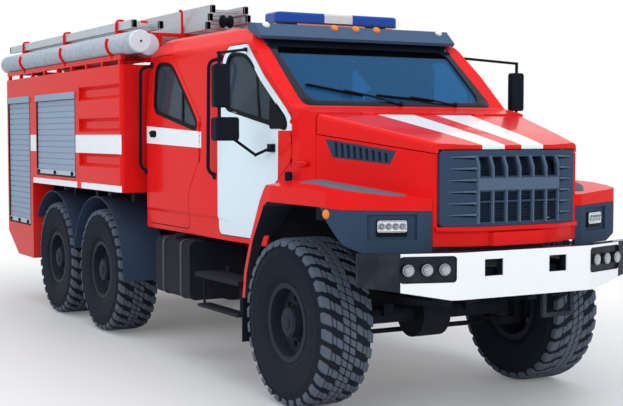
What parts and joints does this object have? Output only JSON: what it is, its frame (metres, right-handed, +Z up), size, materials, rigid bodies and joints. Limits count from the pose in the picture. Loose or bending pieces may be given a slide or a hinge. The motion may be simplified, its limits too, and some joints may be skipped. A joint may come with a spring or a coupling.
{
  "type": "fire tanker truck",
  "caption": "Long-nosed off-road fire tanker with a crew cab, ribbed water tank, roller-shutter lockers, roof hose canisters and ladders; doors, hood, steering and wheels move.",
  "frame": {"origin": "on the ground at the middle of the overall box", "axes": "+X forward, +Y to the left, +Z up"},
  "size_m": [8.4, 2.88, 3.1343],
  "materials": {
    "red_paint": "gloss",
    "white_paint": "gloss",
    "dark_steel": "satin",
    "cast_block": "matte",
    "radiator_core": "matte",
    "lamp_glass": "gloss",
    "clear_glass": "gloss",
    "seat_cloth": "matte",
    "dark_plastic": "matte",
    "blue_lens": "gloss",
    "alloy": "satin",
    "wheel_steel": "satin",
    "tyre_rubber": "matte",
    "red_lens": "gloss"
  },
  "bodies": {
    "chassis": {"chassis_frame": "dark_steel", "axles": "dark_steel", "leaf_springs": "dark_steel", "engine": "cast_block", "driveline": "dark_steel", "radiator": "radiator_core", "bumper": "white_paint", "front_lamps": "lamp_glass", "cab_shell": "red_paint", "windscreen": "clear_glass", "seats": "seat_cloth", "dashboard": "dark_plastic", "sun_visor": "dark_plastic", "light_bar": "blue_lens", "nose_panel": "red_paint", "grille": "dark_plastic", "fenders": "red_paint", "aprons": "dark_plastic", "cab_steps": "dark_steel", "fuel_tanks": "dark_steel", "body_subframe": "dark_steel", "tank_body": "red_paint", "locker_body": "red_paint", "roller_shutters": "alloy", "rear_mudguards": "dark_plastic", "roof_rack": "red_paint", "hose_canisters": "alloy", "ladders": "alloy", "rear_step": "alloy", "side_vents": "dark_plastic", "mud_flaps": "tyre_rubber", "tail_lamps": "red_lens", "tank_lid": "dark_steel"},
    "knuckle_right": {"knuckle_right": "dark_steel"},
    "knuckle_left": {"knuckle_left": "dark_steel"},
    "tie_rod": {"tie_rod": "dark_steel"},
    "steering_wheel": {"steering_wheel": "dark_plastic"},
    "wheel_front_right": {"rim_front_right": "wheel_steel", "tyre_front_right": "tyre_rubber"},
    "wheel_front_left": {"rim_front_left": "wheel_steel", "tyre_front_left": "tyre_rubber"},
    "wheel_middle_right": {"rim_middle_right": "wheel_steel", "tyre_middle_right": "tyre_rubber"},
    "wheel_middle_left": {"rim_middle_left": "wheel_steel", "tyre_middle_left": "tyre_rubber"},
    "wheel_rear_right": {"rim_rear_right": "wheel_steel", "tyre_rear_right": "tyre_rubber"},
    "wheel_rear_left": {"rim_rear_left": "wheel_steel", "tyre_rear_left": "tyre_rubber"},
    "door_front_right": {"door_front_right": "white_paint", "glass_front_right": "clear_glass", "mirror_right": "dark_plastic"},
    "door_front_left": {"door_front_left": "white_paint", "glass_front_left": "clear_glass", "mirror_left": "dark_plastic"},
    "door_rear_right": {"door_rear_right": "red_paint", "glass_rear_right": "clear_glass"},
    "door_rear_left": {"door_rear_left": "red_paint", "glass_rear_left": "clear_glass"},
    "hood": {"hood": "red_paint"}
  },
  "joints": [
    {"name": "steer_right", "type": "hinge", "parent": "chassis", "child": "knuckle_right", "pos_m": [3, -0.74, 0.6], "axis": [0, 0, 1], "range_deg": [-28, 28]},
    {"name": "steer_left", "type": "hinge", "parent": "chassis", "child": "knuckle_left", "pos_m": [3, 0.74, 0.6], "axis": [0, 0, 1], "range_deg": [-28, 28]},
    {"name": "tie_rod_pivot", "type": "hinge", "parent": "knuckle_right", "child": "tie_rod", "pos_m": [2.75, -0.74, 0.432], "axis": [0, 0, 1], "range_deg": [-28, 28]},
    {"name": "steering_wheel_turn", "type": "hinge", "parent": "chassis", "child": "steering_wheel", "pos_m": [2.24, 0.48, 1.985], "axis": [-0.8192, 0, 0.5736], "range_deg": [-560, 560]},
    {"name": "wheel_front_right_spin", "type": "hinge", "parent": "knuckle_right", "child": "wheel_front_right", "pos_m": [3, -1, 0.6], "axis": [0, 1, 0], "continuous": true},
    {"name": "wheel_front_left_spin", "type": "hinge", "parent": "knuckle_left", "child": "wheel_front_left", "pos_m": [3, 1, 0.6], "axis": [0, 1, 0], "continuous": true},
    {"name": "wheel_middle_right_spin", "type": "hinge", "parent": "chassis", "child": "wheel_middle_right", "pos_m": [-0.85, -1, 0.6], "axis": [0, 1, 0], "continuous": true},
    {"name": "wheel_middle_left_spin", "type": "hinge", "parent": "chassis", "child": "wheel_middle_left", "pos_m": [-0.85, 1, 0.6], "axis": [0, 1, 0], "continuous": true},
    {"name": "wheel_rear_right_spin", "type": "hinge", "parent": "chassis", "child": "wheel_rear_right", "pos_m": [-2.25, -1, 0.6], "axis": [0, 1, 0], "continuous": true},
    {"name": "wheel_rear_left_spin", "type": "hinge", "parent": "chassis", "child": "wheel_rear_left", "pos_m": [-2.25, 1, 0.6], "axis": [0, 1, 0], "continuous": true},
    {"name": "door_front_right_hinge", "type": "hinge", "parent": "chassis", "child": "door_front_right", "pos_m": [2.723, -0.98056, 1.9], "axis": [0, 0, 1], "range_deg": [0, 65]},
    {"name": "door_front_left_hinge", "type": "hinge", "parent": "chassis", "child": "door_front_left", "pos_m": [2.723, 0.98056, 1.9], "axis": [0, 0, -1], "range_deg": [0, 65]},
    {"name": "door_rear_right_hinge", "type": "hinge", "parent": "chassis", "child": "door_rear_right", "pos_m": [1.223, -1.04, 1.9], "axis": [0, 0, 1], "range_deg": [0, 65]},
    {"name": "door_rear_left_hinge", "type": "hinge", "parent": "chassis", "child": "door_rear_left", "pos_m": [1.223, 1.04, 1.9], "axis": [0, 0, -1], "range_deg": [0, 65]},
    {"name": "hood_hinge", "type": "hinge", "parent": "chassis", "child": "hood", "pos_m": [3.008, 0, 2.072], "axis": [0, -1, 0], "range_deg": [0, 60]}
  ],
  "couplings": [
    {"joint": "steer_left", "follows": "steer_right", "ratio": 1},
    {"joint": "tie_rod_pivot", "follows": "steer_right", "ratio": -1},
    {"joint": "steering_wheel_turn", "follows": "steer_right", "ratio": 20}
  ]
}
